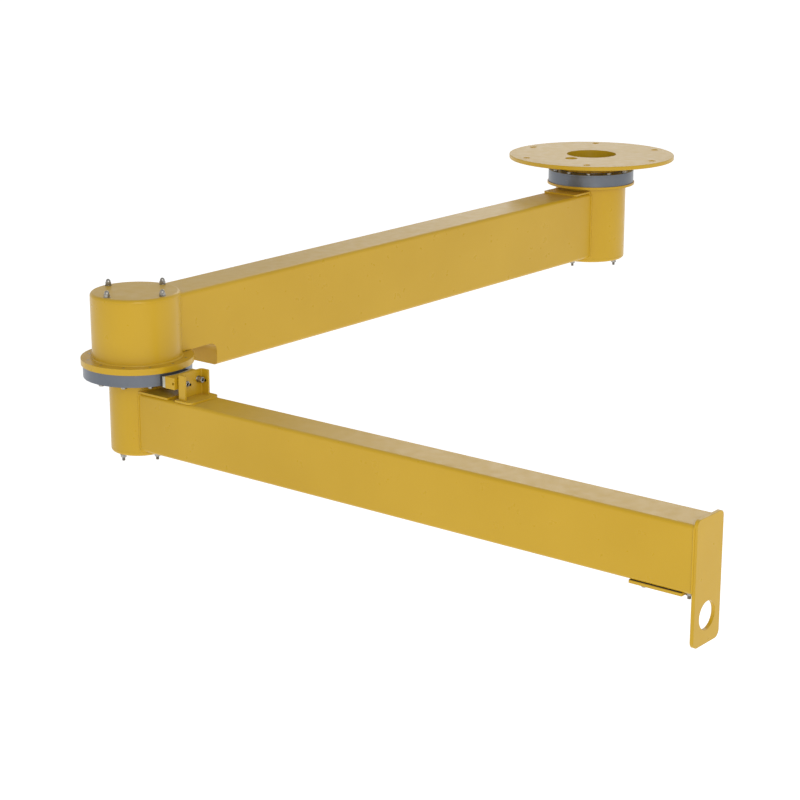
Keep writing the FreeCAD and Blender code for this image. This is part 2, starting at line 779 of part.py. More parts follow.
def first_boom():
    half = "boom_one_width / 2"
    wall = "boom_one_wall"
    outer = box_prism("boom_one_outer", "YZ_Plane", ("-(%s)" % half, "boom_one_bottom"),
                      (half, "boom_one_top"), "0", "elbow_reach", "boom_one_round", (1, 0, 0))
    cavity = box_prism("boom_one_cavity", "YZ_Plane",
                       ("-(%s - %s)" % (half, wall), "boom_one_bottom + %s" % wall),
                       ("%s - %s" % (half, wall), "boom_one_top - %s" % wall),
                       "0", "elbow_reach", "boom_one_round - boom_one_wall", (1, 0, 0))
    column = cylinder("boom_one_cope", "column_radius", "boom_one_height", "0", "0", "boom_one_bottom")
    drum = cylinder("boom_one_drum_cope", "column_radius", "boom_one_height + 2 * recess_round",
                    "elbow_reach", "0", "boom_one_bottom - 2 * recess_round")
    recess = new_body("elbow_recess")
    recess_low = ("elbow_reach - recess_reach", "boom_one_bottom - 2 * recess_round")
    recess_high = ("elbow_reach", "boom_one_bottom + recess_height")
    outline = rectangle(recess, "elbow_recess_outline", "XZ_Plane", recess_low, recess_high)
    pad(recess, outline, "boom_one_width + 2 * cutter_overrun", True)
    round_edges(recess, "recess_round", runs_along((0, 1, 0)))
    keep(cut_in_turn("first_boom_tube_stage", outer, cavity, column, drum, recess), "first_boom_tube")

    sheet_body = new_body("recess_sheet")
    low = ("elbow_reach - recess_reach - recess_plate_thickness", recess_low[1])
    high = ("elbow_reach", recess_high[1] + " + recess_plate_thickness")
    outline = rectangle(sheet_body, "recess_sheet_outline", "XZ_Plane", low, high)
    pad(sheet_body, outline, "boom_one_width", True)
    round_edges(sheet_body, "recess_round + recess_plate_thickness", runs_along((0, 1, 0)))
    bent = cut_in_turn("recess_sheet_bent", sheet_body, recess, drum)
    keep(common("recess_sheet_trimmed", bent, cavity), "recess_closing_plate")

    plate = new_body("upper_stiffener_sheet", "0", "0", "boom_one_top")
    side = "upper_stiffener_width / 2"
    outline = rectangle(plate, "upper_stiffener_outline", "XY_Plane", ("0", "-(%s)" % side),
                        ("upper_stiffener_reach", side))
    pad(plate, outline, "stiffener_thickness")
    upright = runs_along((0, 0, 1))

    def far_corner(edge, shape):
        return upright(edge, shape) and edge.CenterOfMass.x > shape.BoundBox.Center.x
    round_edges(plate, "stiffener_round", far_corner)
    stiffener("upper_stiffener_plate", plate, "column_radius", "0", "boom_one_top")


def second_boom():
    half = "boom_two_width / 2"
    wall = "boom_two_wall"
    outer = box_prism("boom_two_outer", "XZ_Plane", ("-(%s)" % half, "boom_two_bottom"),
                      (half, "boom_two_top"), "0", "boom_two_reach", "boom_two_round", (0, 1, 0),
                      "elbow_reach")
    cavity = box_prism("boom_two_cavity", "XZ_Plane",
                       ("-(%s - %s)" % (half, wall), "boom_two_bottom + %s" % wall),
                       ("%s - %s" % (half, wall), "boom_two_top - %s" % wall),
                       "0", "boom_two_reach", "boom_two_round - boom_two_wall", (0, 1, 0), "elbow_reach")
    column = cylinder("boom_two_cope", "lower_column_radius", "boom_two_height", "elbow_reach", "0",
                      "boom_two_bottom")
    window = block("cable_window", "cover_window_width", "cover_window_length", "2 * boom_two_wall",
                   "elbow_reach - cover_window_width / 2",
                   "cover_start + cover_end_land",
                   "boom_two_bottom - boom_two_wall / 2")
    taps = pair_across("boom_two_tap", "cover_screw_radius", "boom_two_wall", "cover_screw_side",
                       "cover_start + cover_screw_end", "boom_two_bottom")
    holes = pair_across("boom_two_tip_hole", "bolt_hole", "boom_two_wall", "tip_bolt_side",
                        "boom_two_reach - tip_bolt_end", "boom_two_bottom")
    drills = gather("boom_two_drills", taps + holes)
    opened = cut_in_turn("second_boom_tube_stage", outer, cavity, column, window, drills)
    keep(opened, "second_boom_tube")

    plate = new_body("lower_stiffener_sheet", "elbow_reach", "0", "boom_two_top")
    outline = rectangle(plate, "lower_stiffener_outline", "XY_Plane", ("-(%s)" % half, "0"),
                        (half, "lower_stiffener_reach"))
    pad(plate, outline, "stiffener_thickness")
    stiffener("lower_stiffener_plate", plate, "lower_column_radius", "elbow_reach", "boom_two_top")

    end = new_body("end_plate_body", "elbow_reach", "boom_two_reach")
    bottom = "boom_two_bottom - end_plate_drop"
    outline = rectangle(end, "end_plate_outline", "XZ_Plane", ("-(%s)" % half, bottom),
                        (half, "boom_two_top + end_plate_rise"))
    pad(end, outline, "end_plate_thickness", False, True)
    hole = circles(end, "end_plate_hole", "XZ_Plane",
                   [("lug_hole_radius", "0", "%s + lug_hole_rise" % bottom)])
    pocket(end, hole, "end_plate_thickness")
    across = runs_along((0, 1, 0))

    def top_corner(edge, shape):
        return across(edge, shape) and abs(edge.CenterOfMass.z - shape.BoundBox.ZMax) < SAME_LEVEL

    def foot_corner(edge, shape):
        return across(edge, shape) and abs(edge.CenterOfMass.z - shape.BoundBox.ZMin) < SAME_LEVEL
    round_edges(end, "end_plate_top_round", top_corner)
    round_edges(end, "end_plate_lug_round", foot_corner)
    keep(end, "end_plate")


def pair_across(name, radius, height, side, y, low, axis="z"):
    """Two upright cylinders, one each side of the second boom's middle plane."""
    made = []
    for number, sign in enumerate(("-", "+"), start=1):
        x = beside("elbow_reach", side, sign)
        made.append(cylinder("%s_%d" % (name, number), radius, height, x, y, low, axis))
    return made


def cable_cover():
    half = "boom_two_width / 2"
    screw_place = "cover_start + cover_screw_end"
    screw_hole = "cover_screw_radius + cover_screw_clearance"
    cover = new_body("cable_cover_sheet", "elbow_reach", "cover_start", "cover_bottom")
    outline = rectangle(cover, "cable_cover_outline", "XY_Plane", ("-(%s)" % half, "0"),
                        (half, "cover_length"))
    pad(cover, outline, "cover_thickness")
    round_edges(cover, "cover_corner_round", runs_along((0, 0, 1)))
    side = "cover_screw_side"
    holes = pair_across("cover_hole", screw_hole, "cover_thickness", side, screw_place, "cover_bottom")
    keep(cut("cable_cover_drilled", cover, *holes), "cable_cover")

    seal = new_body("cover_gasket_sheet", "elbow_reach", "cover_start", "gasket_bottom")
    inset = "gasket_inset"
    outline = rectangle(seal, "cover_gasket_outline", "XY_Plane", ("-(%s - %s)" % (half, inset), inset),
                        ("%s - %s" % (half, inset), "cover_length - %s" % inset))
    pad(seal, outline, "gasket_thickness")
    window = rectangle(seal, "cover_gasket_window", "XY_Plane",
                       ("-cover_window_width / 2", "cover_end_land"),
                       ("cover_window_width / 2", "cover_length - cover_end_land"))
    pocket(seal, window, "gasket_thickness", True)
    holes = pair_across("gasket_hole", screw_hole, "gasket_thickness", side, screw_place, "gasket_bottom")
    keep(cut("cover_gasket_drilled", seal, *holes), "cable_cover_gasket")

    heads = pair_across("cover_screw_head_of", "cover_screw_head", "cover_screw_head_height", side,
                        screw_place, "cover_bottom", "down")
    shanks = pair_across("cover_screw_shank_of", "cover_screw_radius", "cover_screw_length", side,
                         screw_place, "cover_bottom")
    made = []
    for number, (sign, head, shank) in enumerate(zip(("-", "+"), heads, shanks), start=1):
        name = "cover_screw_%d" % number
        key = hexagon(name + "_key", "cover_screw_radius - cover_screw_clearance", "cover_screw_radius",
                      beside("elbow_reach", side, sign), screw_place,
                      "cover_bottom - cover_screw_head_height")
        made.append(cut(name, fuse(name + "_blank", head, shank), key))
    keep(gather("cover_screw_set", made), "cable_cover_screws")


def tip_bolts():
    """Two bolts through the second boom's lower wall, heads inside and nuts below."""
    y = "boom_two_reach - tip_bolt_end"
    seat = "boom_two_bottom + boom_two_wall"
    bolts = []
    locks = []
    side = "tip_bolt_side"
    shanks = pair_across("tip_bolt_shank", "thread_radius", "tip_bolt_length", side, y, seat, "down")
    bores = pair_across("tip_nut_bore", "thread_radius", "nut_height", side, y, "boom_two_bottom", "down")
    for number, (sign, shank, bore) in enumerate(zip(("-", "+"), shanks, bores), start=1):
        x = beside("elbow_reach", side, sign)
        head = hexagon("tip_bolt_head_%d" % number, "hex_radius", "hex_head_height", x, y, seat)
        bolts.append(fuse("tip_bolt_%d" % number, head, shank))
        blank = hexagon("tip_nut_blank_%d" % number, "hex_radius", "nut_height", x, y,
                        "boom_two_bottom", "down")
        locks.append(cut("tip_nut_%d" % number, blank, bore))
    keep(gather("tip_bolt_set", bolts), "tip_bolts")
    keep(gather("tip_nut_set", locks), "tip_nuts")


# ---- friction brake

def brake_arc(node, inner, outer, height):
    """A strip of a ring round the elbow axis, as wide as the shoe."""
    low = "brake_level - (%s) / 2" % height
    ring = cut(node + "_ring", cylinder(node + "_outer", outer, height, "elbow_reach", "0", low),
               cylinder(node + "_inner", inner, height, "elbow_reach", "0", low))
    slot = block(node + "_slot", "2 * brake_half_width", outer, height,
                 "elbow_reach - brake_half_width", "0", low)
    return keep(common(node + "_strip", ring, slot), node)


def brake_bars(name, radius, start, length):
    """Cylinders along the boom at the two brake studs."""
    made = []
    for number, side in enumerate(("-", "+"), start=1):
        x = beside("elbow_reach", "brake_stud_side", side)
        made.append(cylinder("%s_%d" % (name, number), radius, length, x, start, "brake_level", "y"))
    return made


def disc_spring(name, side, number):
    """One dished washer of a stack, its dish turned over from that of the washer before."""
    body = doc.addObject("PartDesign::Body", name)
    body.Placement = FreeCAD.Placement(FreeCAD.Vector(), turned("y"))
    place(body, beside("elbow_reach", "brake_stud_side", side),
          "spring_start + %d * spring_height" % number, "brake_level")
    rim, bore = ("0", "spring_dish") if number % 2 == 0 else ("spring_dish", "0")
    thick = "spring_height - spring_dish"
    section = [("spring_radius", rim), ("spring_radius", "%s + %s" % (rim, thick)),
               ("spring_bore", "%s + %s" % (bore, thick)), ("spring_bore", bore)]
    revolve(body, polygon(body, name + "_section", "XZ_Plane", section))
    return body


def brake_shoe():
    brake_arc("brake_pad", "pad_face", "pad_back", "pad_height")
    brake_arc("brake_backing_plate", "pad_back", "backing_back", "backing_height")
    low = "brake_level - carrier_height / 2"
    blank = block("carrier_blank", "2 * brake_half_width", "carrier_back - journal_radius",
                  "carrier_height", "elbow_reach - brake_half_width", "journal_radius", low)
    seat = cylinder("carrier_seat", "backing_back", "carrier_height", "elbow_reach", "0", low)
    threads = brake_bars("carrier_thread", "thread_radius", "carrier_back - brake_stud_grip",
                         "brake_stud_grip")
    pockets = brake_bars("carrier_pocket", "spring_pocket_radius", "carrier_back - spring_pocket_depth",
                         "spring_pocket_depth")
    pin = cylinder("carrier_pin_hole", "carrier_pin_hole", "carrier_pin_depth",
                   "elbow_reach + brake_half_width - carrier_pin_depth",
                   "carrier_back - spring_pocket_depth / 2", "brake_level", "x")
    drilled = cut_in_turn("carrier_stage", blank, seat, gather("carrier_threads", threads),
                          gather("carrier_pockets", pockets), pin)
    keep(drilled, "brake_carrier")

    start = "carrier_back - brake_stud_grip"
    bars = brake_bars("brake_stud", "thread_radius", start, "brake_stud_length")
    keep(gather("brake_stud_set", bars), "brake_studs")
    discs = brake_bars("brake_washer_disc", "washer_radius", "nut_seat", "washer_thickness")
    eyes = brake_bars("brake_washer_eye", "bolt_hole", "nut_seat", "washer_thickness")
    rings = []
    for number, (disc, eye) in enumerate(zip(discs, eyes), start=1):
        rings.append(cut("brake_washer_%d" % number, disc, eye))
    keep(gather("brake_washer_set", rings), "brake_washers")
    made = []
    for layer in ("0", "nut_height"):
        for side in ("-", "+"):
            name = "brake_nut_%d" % (len(made) + 1)
            x = beside("elbow_reach", "brake_stud_side", side)
            y = "nut_seat + washer_thickness + %s" % layer
            blank = hexagon(name + "_blank", "hex_radius", "nut_height", x, y, "brake_level", "y")
            bore = cylinder(name + "_bore", "thread_radius", "nut_height", x, y, "brake_level", "y")
            made.append(cut(name, blank, bore))
    keep(gather("brake_nut_set", made), "brake_nuts")

    discs = []
    for side in ("-", "+"):
        for number in range(DISC_SPRINGS):
            discs.append(disc_spring("brake_spring_%d" % (len(discs) + 1), side, number))
    keep(gather("brake_spring_set", discs), "brake_springs")


def brake_bracket():
    channel = new_body("bracket_channel", "elbow_reach", "bracket_face", "bracket_foot")
    inner = "(bracket_half_width - bracket_wall)"
    points = [("-bracket_half_width", "0"), ("bracket_half_width", "0"),
              ("bracket_half_width", "bracket_depth"), (inner, "bracket_depth"),
              (inner, "bracket_wall"), ("-" + inner, "bracket_wall"),
              ("-" + inner, "bracket_depth"), ("-bracket_half_width", "bracket_depth")]
    pad(channel, polygon(channel, "bracket_channel_outline", "XY_Plane", points), "bracket_height")
    upright = runs_along((0, 0, 1))

    def outside(edge, shape):
        return upright(edge, shape) and abs(edge.CenterOfMass.y - shape.BoundBox.YMin) < SAME_LEVEL

    def inside(edge, shape):
        faces = shape.ancestorsOfType(edge, Part.Face)
        flat = [face for face in faces if isinstance(face.Surface, Part.Plane)]
        middle = edge.CenterOfMass
        deep = middle.y < shape.BoundBox.Center.y
        within = abs(middle.x) < shape.BoundBox.XMax - SAME_LEVEL
        return upright(edge, shape) and deep and within and len(flat) == 2
    round_edges(channel, "bracket_bend", outside)
    round_edges(channel, "bracket_inner_bend", inside)
    holes = brake_bars("bracket_hole", "bolt_hole", "bracket_face - cutter_overrun",
                       "bracket_wall + 2 * cutter_overrun")
    keep(cut("bracket_channel_drilled", channel, *holes), "brake_bracket_channel")

    base = new_body("bracket_base", "elbow_reach", "bracket_face", "boom_two_top")
    half = "boom_two_width / 2"
    outline = rectangle(base, "bracket_base_outline", "XY_Plane", ("-(%s)" % half, "0"),
                        (half, "bracket_base_length"))
    pad(base, outline, "stiffener_thickness")

    def far_corner(edge, shape):
        return upright(edge, shape) and edge.CenterOfMass.y > shape.BoundBox.Center.y
    round_edges(base, "bracket_base_round", far_corner)
    keep(base, "brake_bracket_base")


def write_parts():
    """Checks every object and sub-part, then writes one file for each node."""
    doc.recompute()
    for thing in doc.Objects:
        if "Invalid" in thing.State or "Error" in thing.State:
            raise RuntimeError("%s is %s" % (thing.Name, thing.State))
    labels = [thing.Label for thing in nodes]
    if len(set(labels)) != len(labels):
        raise RuntimeError("two nodes share a name")
    for thing in nodes:
        shape = thing.Shape
        if shape.isNull() or not shape.isValid() or not shape.Solids:
            raise RuntimeError(thing.Label + " has no valid solid")
    os.makedirs("parts", exist_ok=True)
    for thing in nodes:
        thing.Shape.exportStep("parts/%s.step" % thing.Label)
        box = thing.Shape.BoundBox
        print("%-28s %2d solids  %10.1f mm3  z %.1f to %.1f" % (
            thing.Label, len(thing.Shape.Solids), thing.Shape.Volume, box.ZMin, box.ZMax))


ceiling_mount()
bearing("upper", "0", "upper_flange_top", "+", "upper_ring_height", "upper_screw_circle", False)
upper_column()
first_boom()
elbow_drum()
bearing("lower", "elbow_reach", "drum_flange_bottom", "-", "lower_ring_height", "lower_screw_circle",
        True)
lower_column()
second_boom()
cable_cover()
tip_bolts()
brake_bracket()
brake_shoe()
write_parts()
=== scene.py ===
import json
import math
import bpy
import numpy as np
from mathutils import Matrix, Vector


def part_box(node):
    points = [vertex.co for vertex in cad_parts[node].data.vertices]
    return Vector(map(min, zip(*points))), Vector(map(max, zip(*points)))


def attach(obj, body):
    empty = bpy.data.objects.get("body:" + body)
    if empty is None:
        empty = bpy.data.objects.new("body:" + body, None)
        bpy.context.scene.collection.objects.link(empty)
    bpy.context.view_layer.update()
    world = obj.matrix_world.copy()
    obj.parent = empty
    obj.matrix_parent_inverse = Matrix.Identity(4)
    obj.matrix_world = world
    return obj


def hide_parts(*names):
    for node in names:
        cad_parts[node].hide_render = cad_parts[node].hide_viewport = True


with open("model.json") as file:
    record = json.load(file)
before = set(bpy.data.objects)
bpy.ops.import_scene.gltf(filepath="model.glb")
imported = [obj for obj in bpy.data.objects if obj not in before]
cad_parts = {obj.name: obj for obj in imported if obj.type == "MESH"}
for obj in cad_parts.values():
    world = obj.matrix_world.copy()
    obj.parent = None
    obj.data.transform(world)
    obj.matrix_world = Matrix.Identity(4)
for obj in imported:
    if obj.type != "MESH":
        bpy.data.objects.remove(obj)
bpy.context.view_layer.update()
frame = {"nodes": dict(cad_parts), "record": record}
cadNodes = frame["nodes"]
mm = 0.001
fullTurn = 2 * math.pi
elbow = (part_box("drum_lid")[0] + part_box("drum_lid")[1]) / 2
print("frame loaded:", len(cadNodes), "parts")


# Faces of a grid of rings: ring i, side j joins ring i + 1, side j + 1. A closed grid joins its last
# ring to its first, and an open one ends in two flat caps.
def ringFaces(rings, sides, closed):
    i, j = np.meshgrid(np.arange(rings if closed else rings - 1), np.arange(sides), indexing="ij")
    nextRing, nextSide = (i + 1) % rings, (j + 1) % sides
    corners = (i * sides + j, i * sides + nextSide, nextRing * sides + nextSide, nextRing * sides + j)
    faces = np.stack(corners, -1).reshape(-1, 4).tolist()
    if not closed:
        faces.append(list(range(sides - 1, -1, -1)))
        faces.append(list(range((rings - 1) * sides, rings * sides)))
    return faces


# Turned surface: x = radius cos a, y = radius sin a, z = height, with a radius and a height for each
# ring and side.
def turned(heights, radii, closed=False):
    heights, radii = np.atleast_2d(heights.T).T, np.atleast_2d(radii.T).T
    sides = max(heights.shape[1], radii.shape[1])
    angle = np.arange(sides) * fullTurn / sides
    radii = np.broadcast_to(radii, (len(radii), sides))
    heights = np.broadcast_to(heights, radii.shape)
    points = np.stack((radii * np.cos(angle), radii * np.sin(angle), heights), -1)
    return points.reshape(-1, 3), ringFaces(len(radii), sides, closed)


# Hexagon and circle together: the radius at angle a is the smaller of the ring's circle and of
# flat / cos(a folded into -30 to 30 degrees). Rings are (height, circle, flat), a flat of None for none.
def hexTurned(rings, closed=False, sides=48):
    angle = np.arange(sides) * fullTurn / sides
    folded = (angle + math.pi / 3) % (math.pi / 3) - math.pi / 6
    heights = np.array([[ring[0]] * sides for ring in rings])
    radii = np.array([
        np.minimum(circle, flat / np.cos(folded)) if flat else np.full(sides, circle)
        for _, circle, flat in rings])
    return turned(heights, radii, closed)


# Screw thread: radius = major - depth * (1 - triangle wave of (z / pitch - a / full turn)), and a cone
# at both ends holds it down to the root.
def threadedRod(low, high, major, pitch, depth, sides=18, ringsPerPitch=6):
    count = max(3, int((high - low) / pitch * ringsPerPitch))
    height = np.linspace(low, high, count)[:, None]
    angle = (np.arange(sides) * fullTurn / sides)[None, :]
    wave = np.abs(2 * ((height / pitch - angle / fullTurn) % 1) - 1)
    cone = major - depth + np.minimum(height - low, high - height)
    radii = np.minimum(major - depth * (1 - wave), cone)
    return turned(np.broadcast_to(height, radii.shape), radii)


# Turns a shape made along +Z to lie along another axis, and moves it to its place.
def placed(part, spot, axis="z"):
    points, faces = part
    x, y, z = points.T
    turnedPoints = {"z": (x, y, z), "down": (x, -y, -z), "y": (x, z, -y)}[axis]
    return np.stack(turnedPoints, -1) + np.asarray(spot), faces


def joinParts(name, parts, material, body, replaced=(), smooth=35):
    points, faces, offset = [], [], 0
    for somePoints, someFaces in parts:
        points.append(somePoints)
        faces.extend([corner + offset for corner in face] for face in someFaces)
        offset += len(somePoints)
    mesh = bpy.data.meshes.new(name)
    mesh.from_pydata(np.vstack(points).tolist(), [], faces)
    mesh.update()
    mesh.materials.append(material)
    mesh.set_sharp_from_angle(angle=math.radians(smooth))
    mesh.polygons.foreach_set("use_smooth", np.ones(len(mesh.polygons), bool))
    piece = bpy.data.objects.new(name, mesh)
    bpy.context.scene.collection.objects.link(piece)
    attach(piece, body)
    if replaced:
        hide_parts(*replaced)
    return piece


# Adds a node. Values given as sockets are linked, and the others are set.
def addNode(tree, kind, inputs=None, **settings):
    made = tree.nodes.new(kind)
    for key, value in settings.items():
        setattr(made, key, value)
    for key, value in (inputs or {}).items():
        if isinstance(value, bpy.types.NodeSocket):
            tree.links.new(value, made.inputs[key])
        else:
            made.inputs[key].default_value = value
    return made


def startMaterial(name):
    material = bpy.data.materials.new(name)
    material.use_nodes = True
    tree = material.node_tree
    return material, tree, tree.nodes["Principled BSDF"]


def objectPlace(tree, centre=(0, 0, 0)):
    coordinates = addNode(tree, "ShaderNodeTexCoord").outputs["Object"]
    shift = tuple(-value for value in centre)
    return addNode(tree, "ShaderNodeMapping", {"Vector": coordinates, "Location": shift}).outputs["Vector"]


def noise(tree, place, scale, detail=2.0, roughness=0.5):
    made = addNode(tree, "ShaderNodeTexNoise", {"Vector": place, "Scale": scale, "Detail": detail,
                                               "Roughness": roughness})
    return made.outputs["Fac"]


def spread(tree, value, fromLow, fromHigh, toLow, toHigh):
    made = addNode(tree, "ShaderNodeMapRange", {"Value": value, "From Min": fromLow, "From Max": fromHigh,
                                               "To Min": toLow, "To Max": toHigh})
    return made.outputs["Result"]


def reckon(tree, operation, one, other=0.0):
    return addNode(tree, "ShaderNodeMath", {0: one, 1: other}, operation=operation).outputs[0]


def mixColour(tree, share, one, other):
    made = addNode(tree, "ShaderNodeMix", data_type="RGBA")
    for key, value in ((0, share), (6, one), (7, other)):
        if isinstance(value, bpy.types.NodeSocket):
            tree.links.new(value, made.inputs[key])
        else:
            made.inputs[key].default_value = value if key == 0 else (*value, 1)
    return made.outputs[2]


def bump(tree, height, strength, distance, normal=None):
    inputs = {"Height": height, "Strength": strength, "Distance": distance}
    if normal:
        inputs["Normal"] = normal
    return addNode(tree, "ShaderNodeBump", inputs).outputs["Normal"]


paintLook = {
    "colour": (0.50, 0.300, 0.008),
    "paler": (0.54, 0.330, 0.014),
    # Lighter yellow for rounded edges: partly rubbed paint, partly a painted highlight along the edges.
    "wornAndHighlight": (0.62, 0.42, 0.07),
    "dust": (0.56, 0.44, 0.26),
    "cloudScale": 3,
    "roughness": (0.27, 0.36),
    "roughnessScale": 38,
    "refraction": 1.41,
    "edgeRound": 1.1 * mm,
    "edgeFrom": 0.985,  # how alike the rounded and the flat normal are where wear and the painted edge highlight begin
    "edgeFull": 0.86,
    "wearAndHighlightScale": 55,
    "wearAndHighlightRange": (0.50, 0.68),
    "wearAndHighlightShare": 0.55,
    "dustScale": 6,
    "dustShare": (0.02, 0.14),
    "dustDulls": 0.6,
    "orangePeelScale": 430,
    "orangePeelDepth": 0.03 * mm,
    "orangePeelStrength": 0.3,
}


# Share of bare, rubbed paint and painted edge highlight, a lighter yellow: only where the rounded normal
# leaves the flat one, and there in patches.
def edgeWearAndHighlight(tree, place, rounded, flat):
    look = paintLook
    alike = addNode(tree, "ShaderNodeVectorMath", {0: rounded, 1: flat}, operation="DOT_PRODUCT")
    edge = spread(tree, alike.outputs["Value"], look["edgeFrom"], look["edgeFull"], 0, 1)
    rubbedAndHighlit = spread(tree, noise(tree, place, look["wearAndHighlightScale"], 4), *look["wearAndHighlightRange"], 0, 1)
    return reckon(tree, "MULTIPLY", reckon(tree, "MULTIPLY", edge, rubbedAndHighlit), look["wearAndHighlightShare"])


# Share of dust: only on faces that look up, thicker in patches.
def settledDust(tree, place, flat):
    look = paintLook
    level = addNode(tree, "ShaderNodeSeparateXYZ", {"Vector": flat}).outputs["Z"]
    facingUp = spread(tree, level, 0.6, 1, 0, 1)
    patches = spread(tree, noise(tree, place, look["dustScale"], 5, 0.6), 0.35, 0.75, *look["dustShare"])
    return reckon(tree, "MULTIPLY", facingUp, patches)


def makePaint():
    look = paintLook
    material, tree, surface = startMaterial("yellowPowderCoat")
    place = objectPlace(tree)
    rounded = addNode(tree, "ShaderNodeBevel", {"Radius": look["edgeRound"]}, samples=4).outputs["Normal"]
    flat = addNode(tree, "ShaderNodeNewGeometry").outputs["Normal"]
    dust = settledDust(tree, place, flat)
    cloud = spread(tree, noise(tree, place, look["cloudScale"], 3), 0.3, 0.7, 0, 1)
    base = mixColour(tree, cloud, look["colour"], look["paler"])
    # Edges lightened in patches: rubbed paint together with a painted edge highlight.
    base = mixColour(tree, edgeWearAndHighlight(tree, place, rounded, flat), base, look["wornAndHighlight"])
    base = mixColour(tree, dust, base, look["dust"])
    clean = spread(tree, noise(tree, place, look["roughnessScale"], 4), 0.3, 0.7, *look["roughness"])
    roughness = reckon(tree, "ADD", clean, reckon(tree, "MULTIPLY", dust, look["dustDulls"]))
    peel = noise(tree, place, look["orangePeelScale"], 1.5)
    normal = bump(tree, peel, look["orangePeelStrength"], look["orangePeelDepth"], rounded)
    tree.links.new(base, surface.inputs["Base Color"])
    tree.links.new(roughness, surface.inputs["Roughness"])
    tree.links.new(normal, surface.inputs["Normal"])
    surface.inputs["IOR"].default_value = look["refraction"]
    return material


ringLook = {
    "colour": (0.125, 0.140, 0.165),
    "paler": (0.17, 0.185, 0.21),
    "metallic": 0.75,
    "roughness": (0.26, 0.40),
    "edgeRound": 0.7 * mm,
    "grooves": 2600,
    "grooveDepth": 0.1 * mm,
    "grooveStrength": 0.25,
    "wander": 1.5 * mm,
    "wanderScale": 14,
    "cloudScale": 18,
}


# Tool marks follow the lathe: height = sine of grooves * (distance from the axis + level + wander).
def makeTurnedMetal(name, centre):
    look = ringLook
    material, tree, surface = startMaterial(name)
    place = objectPlace(tree, centre)
    flatPlace = addNode(tree, "ShaderNodeVectorMath", {0: place, 1: (1, 1, 0)}, operation="MULTIPLY")
    away = addNode(tree, "ShaderNodeVectorMath", {0: flatPlace.outputs[0]}, operation="LENGTH")
    level = addNode(tree, "ShaderNodeSeparateXYZ", {"Vector": place}).outputs["Z"]
    along = reckon(tree, "ADD", away.outputs["Value"], level)
    wander = reckon(tree, "MULTIPLY", noise(tree, place, look["wanderScale"], 2), look["wander"])
    turns = reckon(tree, "MULTIPLY", reckon(tree, "ADD", along, wander), look["grooves"])
    marks = reckon(tree, "SINE", turns)
    cloud = spread(tree, noise(tree, place, look["cloudScale"], 5, 0.6), 0.3, 0.7, 0, 1)
    fine = spread(tree, marks, -1, 1, 0, 1)
    share = reckon(tree, "MULTIPLY", reckon(tree, "ADD", cloud, fine), 0.5)
    base = mixColour(tree, share, look["colour"], look["paler"])
    rounded = addNode(tree, "ShaderNodeBevel", {"Radius": look["edgeRound"]}, samples=4).outputs["Normal"]
    normal = bump(tree, marks, look["grooveStrength"], look["grooveDepth"], rounded)
    tree.links.new(base, surface.inputs["Base Color"])
    tree.links.new(spread(tree, cloud, 0, 1, *look["roughness"]), surface.inputs["Roughness"])
    tree.links.new(normal, surface.inputs["Normal"])
    surface.inputs["Metallic"].default_value = look["metallic"]
    return material


grainStrength = 0.4


# A plain solid finish: two colours clouded together, a grain in the bump, and an even metallic value.
def makeGrained(name, look):
    material, tree, surface = startMaterial(name)
    place = objectPlace(tree)
    cloud = spread(tree, noise(tree, place, look["cloudScale"], 4, 0.6), 0.32, 0.68, 0, 1)
    grain = noise(tree, place, look["grainScale"], 2)
    tree.links.new(mixColour(tree, cloud, look["colour"], look["other"]), surface.inputs["Base Color"])
    tree.links.new(spread(tree, grain, 0.3, 0.7, *look["roughness"]), surface.inputs["Roughness"])
    tree.links.new(bump(tree, grain, grainStrength, look["grainDepth"]), surface.inputs["Normal"])
    surface.inputs["Metallic"].default_value = look["metallic"]
    return material


grainedLooks = {
    "zinc_fasteners": {"colour": (0.27, 0.26, 0.24), "other": (0.43, 0.41, 0.37), "cloudScale": 160,
                       "grainScale": 900, "roughness": (0.24, 0.40), "grainDepth": 0.00005, "metallic": 1.0},
    "friction_pad": {"colour": (0.012, 0.012, 0.014), "other": (0.04, 0.037, 0.034), "cloudScale": 500,
                     "grainScale": 1100, "roughness": (0.7, 0.9), "grainDepth": 0.0002, "metallic": 0.0},
    # Backing plate: a pale zinc-like steel, its tone raised so that its edge strip shows light, partly its
    # own colour and partly a painted highlight.
    "backing_steel": {"colour": (0.52, 0.52, 0.44), "other": (0.64, 0.62, 0.50), "cloudScale": 45,
                      "grainScale": 700, "roughness": (0.38, 0.6), "grainDepth": 0.00008, "metallic": 0.85},
    "spring_steel": {"colour": (0.10, 0.10, 0.12), "other": (0.20, 0.17, 0.14), "cloudScale": 120,
                     "grainScale": 1500, "roughness": (0.3, 0.45), "grainDepth": 0.00003, "metallic": 1.0},
    "bearing_liner": {"colour": (0.62, 0.56, 0.40), "other": (0.70, 0.65, 0.50), "cloudScale": 40,
                      "grainScale": 800, "roughness": (0.4, 0.55), "grainDepth": 0.00004, "metallic": 0.0},
    "gasket_rubber": {"colour": (0.015, 0.015, 0.015), "other": (0.03, 0.03, 0.03), "cloudScale": 60,
                      "grainScale": 900, "roughness": (0.6, 0.8), "grainDepth": 0.0001, "metallic": 0.0},
}

paint = makePaint()
upperRingMetal = makeTurnedMetal("turnedMetalUpper", (0, 0, 0))
lowerRingMetal = makeTurnedMetal("turnedMetalElbow", (elbow.x, elbow.y, 0))
finishes = {slot: makeGrained(slot.replace("_", "") + "Finish", look) for slot, look in grainedLooks.items()}
finishes["yellow_paint"] = paint

# Both bearings are of one metal, each turned round its own axis.
for part in frame["record"]["subparts"]:
    cadPart = cadNodes[part["node"]]
    ringMetal = upperRingMetal if part["node"].startswith("upper") else lowerRingMetal
    finish = finishes.get(part["material_slot"], ringMetal)
    if not cadPart.material_slots:
        cadPart.data.materials.append(finish)
    for cadSlot in cadPart.material_slots:
        cadSlot.material = finish
print("finishes made:", len(finishes) + 2)


